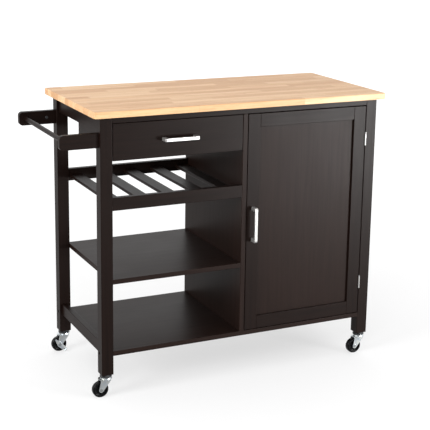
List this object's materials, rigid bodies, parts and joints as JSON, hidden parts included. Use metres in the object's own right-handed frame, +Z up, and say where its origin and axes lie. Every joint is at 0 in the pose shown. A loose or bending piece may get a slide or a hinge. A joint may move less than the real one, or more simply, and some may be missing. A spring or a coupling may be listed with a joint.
{
  "type": "kitchen island cart",
  "caption": "Rolling kitchen island cart with a wooden worktop, drawer, bottle rack, open shelves, cabinet with a hinged door, side towel rack and swivel casters.",
  "frame": {"origin": "on the floor, at the centre of the whole cart's plan, towel rack and handles included", "axes": "+X along the worktop's length, away from the towel rack; +Y from the drawer and door side to the back; +Z up"},
  "size_m": [1.101, 0.4928, 0.9017],
  "materials": {
    "butcher_block": "oiled rubberwood staves",
    "dark_paint": "satin espresso paint on wood",
    "dark_panel": "satin espresso laminate",
    "drawer_board": "brown foil on board",
    "brushed_nickel": "brushed",
    "zinc_steel": "zinc plated",
    "runner_steel": "grey powder coat",
    "wheel_black": "matt moulded",
    "catch_plastic": "moulded"
  },
  "bodies": {
    "cart": {"worktop": "butcher_block", "leg_front_left": "dark_paint", "leg_rear_left": "dark_paint", "leg_front_right": "dark_paint", "leg_rear_right": "dark_paint", "rail_front_top": "dark_paint", "rail_rear_top": "dark_paint", "apron_left": "dark_paint", "rail_left_bottom": "dark_paint", "panel_right": "dark_panel", "panel_divider": "dark_panel", "panel_back": "dark_panel", "board_bottom": "dark_panel", "shelf_middle": "dark_panel", "cabinet_shelf": "dark_panel", "shelf_pins": "zinc_steel", "bottle_rail_front": "dark_paint", "bottle_rail_rear": "dark_paint", "bottle_slats": "dark_paint", "runner_packer": "dark_paint", "runners_fixed": "runner_steel", "towel_arm_front": "dark_paint", "towel_arm_rear": "dark_paint", "towel_rod": "dark_paint", "joint_bolts": "zinc_steel", "wood_screws": "zinc_steel", "catch_magnet": "catch_plastic", "hinge_frame_leaves": "brushed_nickel", "caster_stems": "zinc_steel"},
    "drawer": {"drawer_front": "dark_paint", "drawer_side_left": "drawer_board", "drawer_side_right": "drawer_board", "drawer_back": "drawer_board", "drawer_bottom": "drawer_board", "drawer_handle": "brushed_nickel", "drawer_handle_screws": "zinc_steel", "runners_moving": "runner_steel"},
    "door": {"door_stile_left": "dark_paint", "door_stile_right": "dark_paint", "door_rail_top": "dark_paint", "door_rail_bottom": "dark_paint", "door_panel": "dark_panel", "door_handle": "brushed_nickel", "door_handle_screws": "zinc_steel", "hinge_door_leaves": "brushed_nickel", "catch_plate": "zinc_steel"},
    "caster_front_left": {"caster_front_left_fork": "zinc_steel", "caster_front_left_axle": "zinc_steel"},
    "wheel_front_left": {"caster_front_left_wheel": "wheel_black"},
    "caster_front_right": {"caster_front_right_fork": "zinc_steel", "caster_front_right_axle": "zinc_steel"},
    "wheel_front_right": {"caster_front_right_wheel": "wheel_black"},
    "caster_rear_left": {"caster_rear_left_fork": "zinc_steel", "caster_rear_left_axle": "zinc_steel"},
    "wheel_rear_left": {"caster_rear_left_wheel": "wheel_black"},
    "brake_rear_left": {"caster_rear_left_brake": "zinc_steel"},
    "caster_rear_right": {"caster_rear_right_fork": "zinc_steel", "caster_rear_right_axle": "zinc_steel"},
    "wheel_rear_right": {"caster_rear_right_wheel": "wheel_black"},
    "brake_rear_right": {"caster_rear_right_brake": "zinc_steel"}
  },
  "joints": [
    {"name": "drawer_slide", "type": "slide", "parent": "cart", "child": "drawer", "axis": [0, -1, 0], "range_m": [0, 0.19]},
    {"name": "door_hinge", "type": "hinge", "parent": "cart", "child": "door", "pos_m": [0.48795, -0.2217, 0.50615], "axis": [0, 0, 1], "range_deg": [0, 170]},
    {"name": "swivel_front_left", "type": "hinge", "parent": "cart", "child": "caster_front_left", "pos_m": [-0.41015, -0.2004, 0.06], "axis": [0, 0, 1], "continuous": true},
    {"name": "roll_front_left", "type": "hinge", "parent": "caster_front_left", "child": "wheel_front_left", "pos_m": [-0.42915, -0.2004, 0.0254], "axis": [0, 1, 0], "continuous": true},
    {"name": "swivel_front_right", "type": "hinge", "parent": "cart", "child": "caster_front_right", "pos_m": [0.50795, -0.2004, 0.06], "axis": [0, 0, 1], "continuous": true},
    {"name": "roll_front_right", "type": "hinge", "parent": "caster_front_right", "child": "wheel_front_right", "pos_m": [0.48895, -0.2004, 0.0254], "axis": [0, 1, 0], "continuous": true},
    {"name": "swivel_rear_left", "type": "hinge", "parent": "cart", "child": "caster_rear_left", "pos_m": [-0.41015, 0.2106, 0.06], "axis": [0, 0, 1], "continuous": true},
    {"name": "roll_rear_left", "type": "hinge", "parent": "caster_rear_left", "child": "wheel_rear_left", "pos_m": [-0.42915, 0.2106, 0.0254], "axis": [0, 1, 0], "continuous": true},
    {"name": "brake_rear_left_lever", "type": "hinge", "parent": "caster_rear_left", "child": "brake_rear_left", "pos_m": [-0.42915, 0.2106, 0.0254], "axis": [0, -1, 0], "range_deg": [0, 30]},
    {"name": "swivel_rear_right", "type": "hinge", "parent": "cart", "child": "caster_rear_right", "pos_m": [0.50795, 0.2106, 0.06], "axis": [0, 0, 1], "continuous": true},
    {"name": "roll_rear_right", "type": "hinge", "parent": "caster_rear_right", "child": "wheel_rear_right", "pos_m": [0.48895, 0.2106, 0.0254], "axis": [0, 1, 0], "continuous": true},
    {"name": "brake_rear_right_lever", "type": "hinge", "parent": "caster_rear_right", "child": "brake_rear_right", "pos_m": [0.48895, 0.2106, 0.0254], "axis": [0, -1, 0], "range_deg": [0, 30]}
  ]
}
